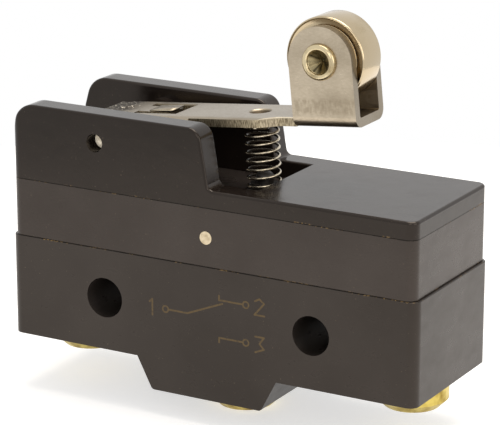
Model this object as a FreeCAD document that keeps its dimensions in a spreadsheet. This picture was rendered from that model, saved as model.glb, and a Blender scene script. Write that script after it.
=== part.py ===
import FreeCAD, Part
import math
import os
import Sketcher

# A snap-action limit switch with a hinged roller lever, in millimetres.
# +X runs along the case towards the roller, +Z is up and +Y points to the back of the case.
# The origin lies on the line of the two mounting holes, halfway between them and in the
# middle of the thickness.

Vector = FreeCAD.Vector

SIZES = {
    # Case
    "case_width": 17.45,
    "base_length": 49.6,
    "base_height": 11.4,
    "axis_height": 5.9,
    "cover_setback": 0.3,
    "cover_height": 6.5,
    "corner_radius": 1.1,
    "parting_chamfer": 0.08,
    "end_wall": 1.45,
    "chamber_depth": 1.6,
    "cover_wall": 1.8,
    "cover_roof": 2.1,
    "rim_width": 0.625,
    "rim_height": 1.0,
    "rim_inset": 3.3,
    "fit_gap": 0.1,
    # Mounting holes
    "hole_pitch": 25.4,
    "left_hole_radius": 2.24,
    "right_hole_radius": 2.16,
    # Boss of the middle terminal
    "boss_drop": 3.55,
    "boss_half_top": 8.6,
    "boss_half_bottom": 6.75,
    "boss_rounding": 0.5,
    # Actuator housing
    "deck_height": 1.9,
    "ear_height": 6.5,
    "ear_thickness": 2.925,
    "slot_end": 5.0,
    "ear_right_foot": 0.37,
    "ear_right_top": -0.78,
    "ear_lean_start": 3.4,
    "ear_lean": 0.95,
    "ear_rounding": 1.6,
    "ear_end_rounding": 2.6,
    "ear_foot_rounding": 0.7,
    "housing_edge_rounding": 0.3,
    "hinge_boss_radius": 2.0,
    "hinge_boss_gap": 0.3,
    "lug_half_length": 2.0,
    "lug_thickness": 0.95,
    "lug_drop": 4.4,
    # Pins
    "hinge_x": -13.7,
    "hinge_rise": 5.2,
    "hinge_pin_radius": 0.97,
    "hinge_pin_recess": 1.65,
    "press_gap": 0.03,
    "running_gap": 0.05,
    "cross_pin_x": 0.08,
    "cross_pin_drop": 3.3,
    "cross_pin_radius": 0.72,
    # Lever, measured from the hinge along the flat of the sheet
    "lever_tilt": 5.79,
    "sheet_thickness": 1.0,
    "sheet_rise": 0.987,
    "sheet_half_width": 3.7,
    "cheek_to_cheek": 8.6,
    "channel_left": 2.4,
    "channel_right": 9.0,
    "channel_depth": 3.0,
    "channel_foot": 2.4,
    "channel_foot_rounding": 1.9,
    "tail_reach": 4.6,
    "tail_half_width": 2.9,
    "stop_gap": 0.15,
    "bend_radius": 1.2,
    "inner_bend_radius": 0.25,
    "shoulder_start": 17.4,
    "shoulder_end": 19.4,
    "neck_half_width": 2.45,
    "window_left": 1.2,
    "window_right": 6.6,
    "window_half_width": 2.4,
    "tongue_half_width": 1.3,
    "tongue_reach": 5.3,
    "tongue_dip": 0.15,
    "dent_x": -0.8,
    "dent_sphere": 3.0,
    "dent_depth": 0.28,
    "dimple_x": 15.75,
    "dimple_depth": 0.9,
    "dimple_radius": 1.3,
    "dimple_tip_radius": 0.75,
    "dimple_wall": 0.25,
    # Fork and roller
    "axle_x": 25.135,
    "axle_z": 8.02,
    "fork_half_length": 3.7,
    "fork_width": 6.26,
    "axle_radius": 1.5,
    "axle_head_radius": 1.97,
    "axle_head_height": 0.55,
    "axle_cup_radius": 1.45,
    "axle_cup_depth": 1.5,
    "axle_cup_tip_radius": 0.48,
    "roller_radius": 4.55,
    "roller_width": 4.0,
    "roller_chamfer": 0.25,
    "roller_recess_outer": 3.55,
    "roller_recess_inner": 2.5,
    "roller_recess_depth": 0.25,
    # Plunger and return spring
    "plunger_x": 2.3,
    "plunger_tip_radius": 1.0,
    "plunger_tip_height": 1.25,
    "plunger_tip_rounding": 0.7,
    "spigot_radius": 1.5,
    "spigot_height": 1.0,
    "collar_radius": 2.15,
    "collar_height": 0.6,
    "plunger_travel": 0.5,
    "stem_radius": 1.25,
    "pretravel": 0.3,
    "spring_outer_radius": 1.92,
    "spring_wire_radius": 0.14,
    "spring_pitch": 0.92,
    "spring_lean": 3.2,
    # Snap blade and contacts
    "blade_rise": 3.0,
    "blade_thickness": 0.2,
    "blade_half_width": 2.6,
    "blade_inset": 2.0,
    "blade_window_inset": 12.25,
    "blade_window_right": 1.5,
    "blade_tongue_half_width": 1.1,
    "blade_tongue_dip": 1.2,
    "blade_tongue_tip_drop": 0.8,
    "blade_overhang": 1.8,
    "contact_inset": 4.2,
    "contact_radius": 1.6,
    "button_height": 0.6,
    "contact_neck_radius": 0.65,
    "contact_gap": 0.55,
    # Terminals
    "strip_thickness": 0.8,
    "strip_half_width": 3.2,
    "pad_reach": 6.6,
    "centre_pad_half": 3.8,
    "screw_inset": 3.0,
    "common_flange_length": 12.2,
    "upper_flange_length": 6.2,
    "lower_flange_inset": 2.3,
    "anchor_inset": 3.8,
    "anchor_half_length": 1.9,
    "anchor_half_width": 2.5,
    "rivet_radius": 0.9,
    "rivet_head_radius": 1.6,
    "rivet_head_height": 0.6,
    "rivet_crown_radius": 1.12,
    "anvil_length": 1.8,
    "anvil_notch": 0.5,
    "anvil_lean": 0.125,
    "tongue_tip_gap": 0.15,
    # Terminal screws
    "screw_radius": 1.95,
    "screw_length": 5.0,
    "screw_head_radius": 3.95,
    "screw_head_height": 2.4,
    "screw_head_rounding": 0.9,
    "screw_slot_length": 5.14,
    "screw_slot_width": 1.0,
    "screw_slot_depth": 1.1,
    "thread_gap": 0.05,
    "screw_room": 0.25,
    "washer_radius": 3.7,
    "washer_thickness": 0.5,
    "washer_split": 0.5,
    # How far a cutting shape reaches past what it cuts
    "overshoot": 1.0,
}

# Closeness in mm at which two places count as the same
HAIR = 1e-4

# Number that a sketch gives to a circle's centre among the circle's points
CENTRE_POINT = 3

doc = FreeCAD.newDocument("roller_lever_switch")
sheet = doc.addObject("Spreadsheet::Sheet", "Sizes")


class Size:
    """A length or angle that knows its value and the formula that binds it to the sheet."""

    def __init__(self, value, formula):
        self.value = value
        self.formula = formula

    def __add__(self, other):
        other = as_size(other)
        return Size(self.value + other.value, f"({self.formula} + {other.formula})")

    def __sub__(self, other):
        other = as_size(other)
        return Size(self.value - other.value, f"({self.formula} - {other.formula})")

    def __mul__(self, other):
        other = as_size(other)
        return Size(self.value * other.value, f"({self.formula} * {other.formula})")

    def __truediv__(self, other):
        other = as_size(other)
        return Size(self.value / other.value, f"({self.formula} / {other.formula})")

    def __radd__(self, other):
        return as_size(other) + self

    def __rsub__(self, other):
        return as_size(other) - self

    def __rmul__(self, other):
        return as_size(other) * self

    def __neg__(self):
        return Size(-self.value, f"(0 - {self.formula})")


def as_size(value):
    """A plain number or a size, as a size."""
    return value if isinstance(value, Size) else Size(float(value), repr(value))


def sine(angle):
    return Size(math.sin(math.radians(angle.value)), f"sin({angle.formula} * 1 deg)")


def cosine(angle):
    return Size(math.cos(math.radians(angle.value)), f"cos({angle.formula} * 1 deg)")


def fill_sheet():
    """Write each size in its own row and give the cell the size's name."""
    sizes = {}
    for row, (name, value) in enumerate(SIZES.items(), start=1):
        sheet.set(f"A{row}", name.replace("_", " "))
        sheet.set(f"B{row}", str(value))
        sheet.setAlias(f"B{row}", name)
        sizes[name] = Size(value, f"Sizes.{name}")
    doc.recompute()
    return sizes


class Names:
    """The sizes of the sheet as attributes."""

    def __init__(self, sizes):
        self.__dict__.update(sizes)


s = Names(fill_sheet())

# Levels and widths that several pieces share
half_width = s.case_width / 2
base_bottom = -s.axis_height
base_top = s.base_height - s.axis_height
boss_bottom = base_bottom - s.boss_drop
cover_top = base_top + s.cover_height
chamber_roof = cover_top - s.cover_roof
cover_chamber_half_width = half_width - s.cover_wall
rim_outer = cover_chamber_half_width - s.fit_gap
base_chamber_half_width = rim_outer - s.rim_width
cover_length = s.base_length - 2 * s.cover_setback
chamber_half_length = s.base_length / 2 - s.end_wall
slot_half_width = half_width - s.ear_thickness
deck_top = cover_top + s.deck_height
ear_top = deck_top + s.ear_height
chamber_floor = base_top - s.chamber_depth
blade_z = chamber_floor + s.blade_rise
blade_top = blade_z + s.blade_thickness
cross_pin_z = cover_top - s.cross_pin_drop
hinge_z = cover_top + s.hinge_rise
fork_inner_half = s.fork_width / 2 - s.sheet_thickness
sheet_top = s.sheet_rise + s.sheet_thickness
shelf_top = chamber_floor + s.strip_thickness

# Places along the case that are set by its ends
riser_x = chamber_half_length - s.fit_gap
terminal_screw_x = riser_x - s.screw_inset
contact_x = riser_x - s.contact_inset
anchor_x = s.anchor_inset - riser_x
blade_window_left = s.blade_window_inset - riser_x


def bind(thing, **formulas):
    """Tie properties of an object to the sheet; double underscores stand for dots."""
    for name, size in formulas.items():
        thing.setExpression(name.replace("__", "."), as_size(size).formula)


def new_body(label):
    body = doc.addObject("PartDesign::Body", label)
    body.Label = label
    return body


def plane_of(body, role):
    return next(f for f in body.Origin.OriginFeatures if f.Role == role + "_Plane")


def new_sketch(body, name, plane, lift):
    """A sketch on one of the body's own planes, lifted along that plane's normal."""
    sketch = body.newObject("Sketcher::SketchObject", name)
    sketch.AttachmentSupport = (plane_of(body, plane), "")
    sketch.MapMode = "FlatFace"
    if lift is not None:
        bind(sketch, AttachmentOffset__Base__z=lift)
    return sketch


def pin_point(sketch, geometry, position, spot):
    """Fix one point of a sketch at a distance from its origin along both axes."""
    for kind, distance in zip(("DistanceX", "DistanceY"), spot):
        distance = as_size(distance)
        constraint = Sketcher.Constraint(kind, -1, 1, geometry, position, distance.value)
        index = sketch.addConstraint(constraint)
        sketch.setExpression(f"Constraints[{index}]", distance.formula)


def polygons(body, name, plane, outlines, lift=None):
    """A sketch of closed outlines, each a list of corners."""
    sketch = new_sketch(body, name, plane, lift)
    for corners in outlines:
        first = sketch.GeometryCount
        spots = [Vector(as_size(a).value, as_size(b).value, 0) for a, b in corners]
        for start, end in zip(spots, spots[1:] + spots[:1]):
            sketch.addGeometry(Part.LineSegment(start, end), False)
        for step in range(len(corners)):
            following = first + (step + 1) % len(corners)
            sketch.addConstraint(Sketcher.Constraint("Coincident", first + step, 2, following, 1))
            pin_point(sketch, first + step, 1, corners[step])
    return sketch


def box_outline(left, right, low, high):
    return [(left, low), (right, low), (right, high), (left, high)]


def discs(body, name, plane, circles, lift=None):
    """A sketch of circles, each given as its centre's two places and its radius."""
    sketch = new_sketch(body, name, plane, lift)
    for across, up, radius in circles:
        centre = Vector(as_size(across).value, as_size(up).value, 0)
        index = sketch.addGeometry(Part.Circle(centre, Vector(0, 0, 1), radius.value), False)
        pin_point(sketch, index, CENTRE_POINT, (across, up))
        held = sketch.addConstraint(Sketcher.Constraint("Radius", index, radius.value))
        sketch.setExpression(f"Constraints[{held}]", radius.formula)
    return sketch


def pad(body, sketch, length, both=False, reverse=False):
    feature = body.newObject("PartDesign::Pad", sketch.Name + "_pad")
    feature.Profile = sketch
    feature.Midplane = both
    feature.Reversed = reverse
    bind(feature, Length=length)
    return feature


def pocket(body, sketch, depth=None, both=False, reverse=False):
    """A cut along the sketch's normal; with no depth it goes right through."""
    feature = body.newObject("PartDesign::Pocket", sketch.Name + "_pocket")
    feature.Profile = sketch
    feature.Reversed = reverse
    if depth is None:
        feature.Type = "ThroughAll"
        feature.Midplane = both
    else:
        feature.Midplane = both
        bind(feature, Length=depth)
    return feature


def turn(body, sketch):
    """A full turn of a sketch about its own vertical axis."""
    feature = body.newObject("PartDesign::Revolution", sketch.Name + "_turn")
    feature.Profile = sketch
    feature.ReferenceAxis = (sketch, ["V_Axis"])
    feature.Angle = 360
    return feature


def mirror(body, feature):
    """The same feature on the other side of the case's middle plane."""
    mirrored = body.newObject("PartDesign::Mirrored", feature.Name + "_mirrored")
    mirrored.Originals = [feature]
    mirrored.MirrorPlane = (plane_of(body, "XZ"), [""])
    body.Tip = mirrored
    return mirrored


def straight_edges(feature, direction, **places):
    """Names of the edges that run along an axis and lie at one of the given places."""
    doc.recompute()
    axis = {"x": Vector(1, 0, 0), "y": Vector(0, 1, 0), "z": Vector(0, 0, 1)}[direction]
    names = []
    for number, edge in enumerate(feature.Shape.Edges, start=1):
        if edge.Curve.TypeId != "Part::GeomLine":
            continue
        if edge.tangentAt(edge.FirstParameter).cross(axis).Length > HAIR:
            continue
        middle = edge.CenterOfMass
        if all(near(getattr(middle, name), spots) for name, spots in places.items()):
            names.append(f"Edge{number}")
    return names


def near(value, spots):
    return any(abs(value - as_size(spot).value) < HAIR for spot in spots)


def rounded(body, feature, edges, radius):
    fillet = body.newObject("PartDesign::Fillet", feature.Name + "_round")
    fillet.Base = (feature, edges)
    bind(fillet, Radius=radius)
    return fillet


def bevelled(body, feature, edges, size):
    chamfer = body.newObject("PartDesign::Chamfer", feature.Name + "_bevel")
    chamfer.Base = (feature, edges)
    bind(chamfer, Size=size)
    return chamfer


def block_with_round_corners(body, name, length, bottom, height):
    """A block of the case's width whose upright corners are rounded."""
    plan = polygons(body, name, "XY",
                    [box_outline(-length / 2, length / 2, -half_width, half_width)], bottom)
    block = pad(body, plan, height)
    corners = straight_edges(block, "z", x=(length / 2, -length / 2), y=(half_width, -half_width))
    return rounded(body, block, corners, s.corner_radius)


def place_on_lever(body):
    """Turn a piece that was drawn along the lever's sheet up to the lever's rest angle."""
    body.Placement = FreeCAD.Placement(Vector(s.hinge_x.value, 0, hinge_z.value),
                                       FreeCAD.Rotation(Vector(0, -1, 0), s.lever_tilt.value))
    bind(body, Placement__Base__x=s.hinge_x, Placement__Base__z=hinge_z,
         Placement__Rotation__Angle=s.lever_tilt)


def base_case():
    """Lower moulding: mounting holes, boss, contact chamber and seats of the terminals."""
    body = new_body("base_case")
    block_with_round_corners(body, "base_plan", s.base_length, base_bottom, s.base_height)
    boss = pad(body, polygons(body, "boss_side", "XZ", [[
        (-s.boss_half_top, base_bottom), (-s.boss_half_bottom, boss_bottom),
        (s.boss_half_bottom, boss_bottom), (s.boss_half_top, base_bottom)]]),
        s.case_width, both=True)
    boss = rounded(body, boss, straight_edges(
        boss, "y", x=(s.boss_half_bottom, -s.boss_half_bottom), z=(boss_bottom,)), s.boss_rounding)
    boss = bevelled(body, boss, straight_edges(
        boss, "x", y=(half_width, -half_width), z=(base_top,)), s.parting_chamfer)
    pocket(body, polygons(body, "chamber", "XY", [box_outline(
        -chamber_half_length, chamber_half_length,
        -base_chamber_half_width, base_chamber_half_width)], base_top), base_top - chamber_floor)
    rim_reach = chamber_half_length - s.rim_inset
    pad(body, polygons(body, "rims", "XY", [
        box_outline(-rim_reach, rim_reach, base_chamber_half_width, rim_outer),
        box_outline(-rim_reach, rim_reach, -rim_outer, -base_chamber_half_width)],
        base_top), s.rim_height)
    pocket(body, discs(body, "mounting_holes", "XZ", [
        (-s.hole_pitch / 2, 0, s.left_hole_radius), (s.hole_pitch / 2, 0, s.right_hole_radius)]),
        both=True)
    terminal_seats(body)
    return body


def terminal_seats(body):
    """Recesses for the three terminal strips, their risers and their screws."""
    width = s.strip_half_width + s.fit_gap
    inner = riser_x - s.pad_reach - s.fit_gap
    outer = riser_x + s.fit_gap
    riser_inner = riser_x - s.strip_thickness - s.fit_gap
    pocket(body, polygons(body, "end_pad_seats", "XY", [
        box_outline(inner, outer, -width, width),
        box_outline(-outer, -inner, -width, width)], base_bottom),
        s.strip_thickness, reverse=True)
    pocket(body, polygons(body, "end_riser_seats", "XY", [
        box_outline(riser_inner, outer, -width, width),
        box_outline(-outer, -riser_inner, -width, width)], base_bottom),
        s.axis_height + chamber_floor, reverse=True)
    pocket(body, polygons(body, "centre_pad_seat", "XY", [box_outline(
        -s.centre_pad_half - s.fit_gap, s.centre_pad_half + s.fit_gap, -width, width)],
        boss_bottom), s.strip_thickness, reverse=True)
    pocket(body, polygons(body, "centre_riser_seat", "XY", [box_outline(
        s.centre_pad_half - s.strip_thickness - s.fit_gap, s.centre_pad_half + s.fit_gap,
        -width, width)], boss_bottom), chamber_floor - boss_bottom, reverse=True)
    room = s.screw_radius + s.screw_room
    depth = s.screw_length + s.screw_room
    pocket(body, discs(body, "end_screw_rooms", "XY", [
        (terminal_screw_x, 0, room), (-terminal_screw_x, 0, room)], base_bottom),
        depth, reverse=True)
    pocket(body, discs(body, "centre_screw_room", "XY", [(0, 0, room)], boss_bottom),
           depth, reverse=True)


def middle_cover():
    """Upper half of the contact chamber, with the plunger's guide in its roof."""
    body = new_body("middle_cover")
    block = block_with_round_corners(body, "cover_plan", cover_length, base_top, s.cover_height)
    block = bevelled(body, block, straight_edges(
        block, "x", y=(half_width, -half_width), z=(base_top, cover_top)), s.parting_chamfer)
    pocket(body, polygons(body, "cover_chamber", "XY", [box_outline(
        -chamber_half_length, chamber_half_length,
        -cover_chamber_half_width, cover_chamber_half_width)], base_top),
        s.cover_height - s.cover_roof, reverse=True)
    pocket(body, discs(body, "collar_room", "XY", [
        (s.plunger_x, 0, s.collar_radius + 2 * s.fit_gap)], cover_top),
        s.collar_height + s.plunger_travel + s.fit_gap)
    pocket(body, discs(body, "stem_bore", "XY", [
        (s.plunger_x, 0, s.stem_radius + s.running_gap)], cover_top), s.cover_roof + s.fit_gap)
    gap = s.fit_gap
    reach = s.lug_half_length + gap
    outer = cover_chamber_half_width
    inner = outer - s.lug_thickness - 2 * gap
    pocket(body, polygons(body, "lug_slots", "XY", [
        box_outline(s.cross_pin_x - reach, s.cross_pin_x + reach, inner, outer),
        box_outline(s.cross_pin_x - reach, s.cross_pin_x + reach, -outer, -inner)],
        cover_top), s.cover_roof + gap)
    pocket(body, discs(body, "cross_pin_holes", "XZ", [
        (s.cross_pin_x, cross_pin_z, s.cross_pin_radius + s.press_gap)]), both=True)
    return body


def actuator_housing():
    """Top moulding: deck, two ears that carry the hinge pin, and lugs for the cross pin."""
    body = new_body("actuator_housing")
    half = cover_length / 2
    height = s.deck_height + s.ear_height
    block_with_round_corners(body, "housing_plan", cover_length, cover_top, height)
    above = ear_top + s.overshoot
    past = half + s.overshoot
    lean = s.ear_lean / s.ear_lean_start
    side = pocket(body, polygons(body, "ear_side", "XZ", [
        [(s.ear_right_foot, deck_top), (past, deck_top), (past, above),
         (s.ear_right_top, above), (s.ear_right_top, ear_top)],
        [(-past, ear_top - s.ear_lean_start), (-half, ear_top - s.ear_lean_start),
         (s.ear_lean - half, ear_top), (s.ear_lean + lean * s.overshoot - half, above),
         (-past, above)]]),
        both=True)
    slot = pocket(body, polygons(body, "lever_slot", "XY", [box_outline(
        -past, s.slot_end, -slot_half_width, slot_half_width)], above), both=True)
    slot = rounded(body, slot, straight_edges(
        slot, "y", x=(s.ear_right_top,), z=(ear_top,)), s.ear_rounding)
    slot = rounded(body, slot, straight_edges(
        slot, "y", x=(s.ear_lean - half,), z=(ear_top,)), s.ear_end_rounding)
    slot = rounded(body, slot, straight_edges(
        slot, "y", x=(s.ear_right_foot,), z=(deck_top,)), s.ear_foot_rounding)
    slot = rounded(body, slot, straight_edges(
        slot, "x", y=(half_width, -half_width), z=(ear_top,)), s.housing_edge_rounding)
    slot = rounded(body, slot, straight_edges(
        slot, "x", y=(slot_half_width, -slot_half_width), z=(ear_top,)),
        s.housing_edge_rounding)
    boss_end = s.cheek_to_cheek / 2 + s.hinge_boss_gap
    bosses = pad(body, discs(body, "hinge_boss", "XZ", [
        (s.hinge_x, hinge_z, s.hinge_boss_radius)], boss_end), slot_half_width - boss_end)
    mirror(body, bosses)
    outer = cover_chamber_half_width - s.fit_gap
    inner = outer - s.lug_thickness
    left = s.cross_pin_x - s.lug_half_length
    right = s.cross_pin_x + s.lug_half_length
    pad(body, polygons(body, "lugs", "XY", [
        box_outline(left, right, inner, outer), box_outline(left, right, -outer, -inner)],
        cover_top), s.lug_drop, reverse=True)
    pocket(body, discs(body, "pin_holes", "XZ", [
        (s.hinge_x, hinge_z, s.hinge_pin_radius + s.press_gap),
        (s.cross_pin_x, cross_pin_z, s.cross_pin_radius + s.press_gap)]), both=True)
    return body


def straight_pin(label, across, up, radius, length):
    """A plain pin across the case."""
    body = new_body(label)
    pad(body, discs(body, label + "_end", "XZ", [(across, up, radius)]), length, both=True)
    return body


def lever():
    """One folded sheet: channel on the hinge pin, stop tail, neck and the roller's fork."""
    body = new_body("lever")
    lever_fork(body)
    lever_channel(body)
    lever_tail(body)
    lever_pressings(body)
    pocket(body, discs(body, "lever_holes", "XZ", [
        (0, 0, s.hinge_pin_radius + s.running_gap),
        (s.axle_x, s.axle_z, s.axle_radius + s.press_gap)]), both=True)
    place_on_lever(body)
    return body


def lever_fork(body):
    """End of the sheet whose sides are folded up round the roller."""
    fork = s.fork_width / 2
    left = s.axle_x - s.fork_half_length
    right = s.axle_x + s.fork_half_length
    pad(body, polygons(body, "fork_floor", "XY", [box_outline(left, right, -fork, fork)],
                       s.sheet_rise), s.sheet_thickness)
    cheek = polygons(body, "cheek_side", "XZ", [box_outline(
        left, right, s.sheet_rise, s.axle_z)], fork_inner_half)
    mirror(body, pad(body, cheek, s.sheet_thickness))
    eye = discs(body, "cheek_eye", "XZ", [(s.axle_x, s.axle_z, s.fork_half_length)],
                fork_inner_half)
    shape = mirror(body, pad(body, eye, s.sheet_thickness))
    shape = rounded(body, shape, straight_edges(
        shape, "x", y=(fork, -fork), z=(s.sheet_rise,)), s.bend_radius)
    rounded(body, shape, straight_edges(
        shape, "x", y=(fork_inner_half, -fork_inner_half), z=(sheet_top,)),
        s.inner_bend_radius)


def lever_channel(body):
    """Flat of the sheet with the sides that are folded down over the hinge pin."""
    channel = s.cheek_to_cheek / 2
    fork_left = s.axle_x - s.fork_half_length
    front = [(-s.channel_left, channel), (s.channel_right, channel),
             (s.channel_right, s.sheet_half_width), (s.shoulder_start, s.sheet_half_width),
             (s.shoulder_end, s.neck_half_width), (fork_left, s.neck_half_width)]
    plan = [(x, -y) for x, y in front] + list(reversed(front))
    pad(body, polygons(body, "sheet_plan", "XY", [plan], s.sheet_rise), s.sheet_thickness)
    foot = s.sheet_rise - s.channel_depth
    side = polygons(body, "channel_side", "XZ", [[
        (-s.channel_left, sheet_top), (-s.channel_left, foot), (s.channel_foot, foot),
        (s.channel_right, s.sheet_rise), (s.channel_right, sheet_top)]],
        channel - s.sheet_thickness)
    shape = mirror(body, pad(body, side, s.sheet_thickness))
    shape = rounded(body, shape, straight_edges(
        shape, "y", x=(-s.channel_left, s.channel_foot), z=(foot,)), s.channel_foot_rounding)
    shape = rounded(body, shape, straight_edges(
        shape, "z", x=(s.shoulder_start, s.shoulder_end),
        y=(s.sheet_half_width, -s.sheet_half_width, s.neck_half_width, -s.neck_half_width)),
        s.bend_radius)
    rounded(body, shape, straight_edges(
        shape, "x", y=(channel, -channel), z=(sheet_top,)), s.bend_radius)


def lever_tail(body):
    """End of the sheet that is bent down and stops the lever on the cover."""
    drop = (hinge_z - cover_top - s.tail_reach * sine(s.lever_tilt) - s.stop_gap)
    bottom = -(drop / cosine(s.lever_tilt))
    inner = s.tail_reach - s.sheet_thickness
    tail = pad(body, polygons(body, "tail_side", "XZ", [[
        (-s.channel_left, sheet_top), (-s.tail_reach, sheet_top), (-s.tail_reach, bottom),
        (-inner, bottom), (-inner, s.sheet_rise), (-s.channel_left, s.sheet_rise)]]),
        2 * s.tail_half_width, both=True)
    tail = rounded(body, tail, straight_edges(
        tail, "y", x=(-s.tail_reach,), z=(sheet_top,)), s.bend_radius)
    rounded(body, tail, straight_edges(
        tail, "y", x=(-inner,), z=(s.sheet_rise,)), s.inner_bend_radius)


def lever_pressings(body):
    """Window with its bent tongue, the dent over the pin and the dimple over the spring."""
    pocket(body, polygons(body, "window", "XY", [box_outline(
        s.window_left, s.window_right, -s.window_half_width, s.window_half_width)],
        sheet_top), s.sheet_thickness)
    pad(body, polygons(body, "tongue_side", "XZ", [[
        (s.window_left, sheet_top), (s.window_left, s.sheet_rise),
        (s.tongue_reach, s.sheet_rise - s.tongue_dip),
        (s.tongue_reach, sheet_top - s.tongue_dip)]]), 2 * s.tongue_half_width, both=True)
    cup = body.newObject("PartDesign::AdditiveCone", "dimple_outside")
    bind(cup, Radius1=s.dimple_tip_radius, Radius2=s.dimple_radius + s.dimple_wall,
         Height=s.dimple_depth, Placement__Base__x=s.dimple_x,
         Placement__Base__z=s.sheet_rise - s.dimple_depth)
    hollow = body.newObject("PartDesign::SubtractiveCone", "dimple_inside")
    bind(hollow, Radius1=s.dimple_tip_radius / 2, Radius2=s.dimple_radius,
         Height=s.dimple_depth, Placement__Base__x=s.dimple_x,
         Placement__Base__z=sheet_top - s.dimple_depth)
    dent = body.newObject("PartDesign::SubtractiveSphere", "pin_dent")
    bind(dent, Radius=s.dent_sphere, Placement__Base__x=s.dent_x,
         Placement__Base__z=sheet_top + s.dent_sphere - s.dent_depth)


def roller_axle():
    """Hollow-ended rivet through the fork, flared over both cheeks."""
    body = new_body("roller_axle")
    end = s.fork_width / 2
    face = end + s.axle_head_height
    rim = s.axle_head_radius - (s.axle_head_radius - s.axle_cup_radius) / 2
    corners = [(0, 0), (s.axle_radius, 0), (s.axle_radius, end), (s.axle_head_radius, end),
               (rim, face), (s.axle_cup_radius, face),
               (s.axle_cup_tip_radius, face - s.axle_cup_depth), (0, face - s.axle_cup_depth)]
    half = turn(body, polygons(body, "axle_section", "XY", [corners]))
    mirror(body, half)
    return on_axle(body)


def roller():
    """Steel roller with stepped side faces and a plain bore."""
    body = new_body("roller")
    bore = s.axle_radius + s.running_gap
    half = s.roller_width / 2
    floor = half - s.roller_recess_depth
    corners = [(bore, 0), (s.roller_radius, 0), (s.roller_radius, half - s.roller_chamfer),
               (s.roller_radius - s.roller_chamfer, half), (s.roller_recess_outer, half),
               (s.roller_recess_outer, floor), (s.roller_recess_inner, floor),
               (s.roller_recess_inner, half), (bore, half)]
    mirror(body, turn(body, polygons(body, "roller_section", "XY", [corners])))
    return on_axle(body)


def on_axle(body):
    """Carry a piece that was turned about its own Y axis to the fork's axle."""
    tilt_sine = sine(s.lever_tilt)
    tilt_cosine = cosine(s.lever_tilt)
    across = s.hinge_x + s.axle_x * tilt_cosine - s.axle_z * tilt_sine
    up = hinge_z + s.axle_x * tilt_sine + s.axle_z * tilt_cosine
    bind(body, Placement__Base__x=across, Placement__Base__z=up)
    return body


def plunger():
    """Stepped pin: tip, spigot inside the spring, collar under it and the stem."""
    body = new_body("plunger")
    collar_top = cover_top
    spigot_top = collar_top + s.spigot_height
    tip_top = spigot_top + s.plunger_tip_height
    corners = [(0, blade_top + s.pretravel), (s.stem_radius, blade_top + s.pretravel),
               (s.stem_radius, collar_top - s.collar_height),
               (s.collar_radius, collar_top - s.collar_height), (s.collar_radius, collar_top),
               (s.spigot_radius, collar_top), (s.spigot_radius, spigot_top),
               (s.plunger_tip_radius, spigot_top), (s.plunger_tip_radius, tip_top), (0, tip_top)]
    shape = turn(body, polygons(body, "plunger_section", "XZ", [corners]))
    doc.recompute()
    crown = [f"Edge{n}" for n, edge in enumerate(shape.Shape.Edges, start=1)
             if edge.Curve.TypeId == "Part::GeomCircle"
             and near(edge.Curve.Radius, (s.plunger_tip_radius,))
             and near(edge.Curve.Center.z, (tip_top,))]
    rounded(body, shape, crown, s.plunger_tip_rounding)
    bind(body, Placement__Base__x=s.plunger_x)
    return body


def return_spring():
    """Open coil between the plunger's collar and the underside of the lever."""
    body = new_body("return_spring")
    coil_radius = s.spring_outer_radius - s.spring_wire_radius
    lever_side = s.dimple_x * sine(s.lever_tilt) + s.sheet_rise * cosine(s.lever_tilt)
    slope_room = coil_radius * sine(s.lever_tilt)
    top = hinge_z + lever_side - slope_room - s.spring_wire_radius
    bottom = cover_top + s.spring_wire_radius + s.press_gap
    wire = discs(body, "wire_section", "XZ", [(coil_radius, 0, s.spring_wire_radius)])
    coil = body.newObject("PartDesign::AdditiveHelix", "coil")
    coil.Profile = wire
    coil.ReferenceAxis = (wire, ["V_Axis"])
    coil.Mode = "pitch-height-angle"
    bind(coil, Pitch=s.spring_pitch, Height=top - bottom - s.fit_gap)
    lean = FreeCAD.Rotation(Vector(0, -1, 0), s.spring_lean.value)
    body.Placement = FreeCAD.Placement(Vector(), lean)
    bind(body, Placement__Base__x=s.plunger_x, Placement__Base__z=bottom,
         Placement__Rotation__Angle=s.spring_lean)
    return body


def snap_blade():
    """Thin spring strip with a bowed tongue that snaps it over."""
    body = new_body("snap_blade")
    right = contact_x + s.blade_overhang
    pad(body, polygons(body, "blade_plan", "XY", [
        box_outline(s.blade_inset - riser_x, right, -s.blade_half_width, s.blade_half_width),
        box_outline(blade_window_left, -s.blade_window_right,
                    -s.blade_half_width / 2, s.blade_half_width / 2)], blade_z),
        s.blade_thickness)
    tip_low = blade_z - s.blade_tongue_tip_drop
    middle = (blade_window_left - s.blade_window_right) / 2
    low = blade_z - s.blade_tongue_dip
    thick = s.blade_thickness
    root = -s.blade_window_right
    tongue = [(root, blade_z), (root, blade_top), (middle, low + thick),
              (blade_window_left, tip_low + thick), (blade_window_left, tip_low), (middle, low)]
    pad(body, polygons(body, "tongue_bow", "XZ", [tongue]),
        2 * s.blade_tongue_half_width, both=True)
    pocket(body, discs(body, "blade_holes", "XY", [
        (contact_x, 0, s.contact_neck_radius + s.press_gap),
        (anchor_x, 0, s.rivet_radius + s.press_gap)], blade_top), s.blade_thickness)
    return body


def moving_contact():
    """Double contact rivet, with a button above and one below the blade."""
    body = new_body("moving_contact")
    low = blade_z - s.button_height
    high = blade_top + s.button_height
    gap = s.press_gap
    neck = s.contact_neck_radius
    corners = [(0, low), (s.contact_radius, low), (s.contact_radius, blade_z - gap),
               (neck, blade_z - gap), (neck, blade_top + gap),
               (s.contact_radius, blade_top + gap), (s.contact_radius, high), (0, high)]
    turn(body, polygons(body, "moving_contact_section", "XZ", [corners]))
    bind(body, Placement__Base__x=contact_x)
    return body


def fixed_contact(label, low, high):
    """One button on a terminal's flange."""
    body = new_body(label)
    pad(body, discs(body, label + "_face", "XY", [(contact_x, 0, s.contact_radius)], low),
        high - low)
    return body


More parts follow.
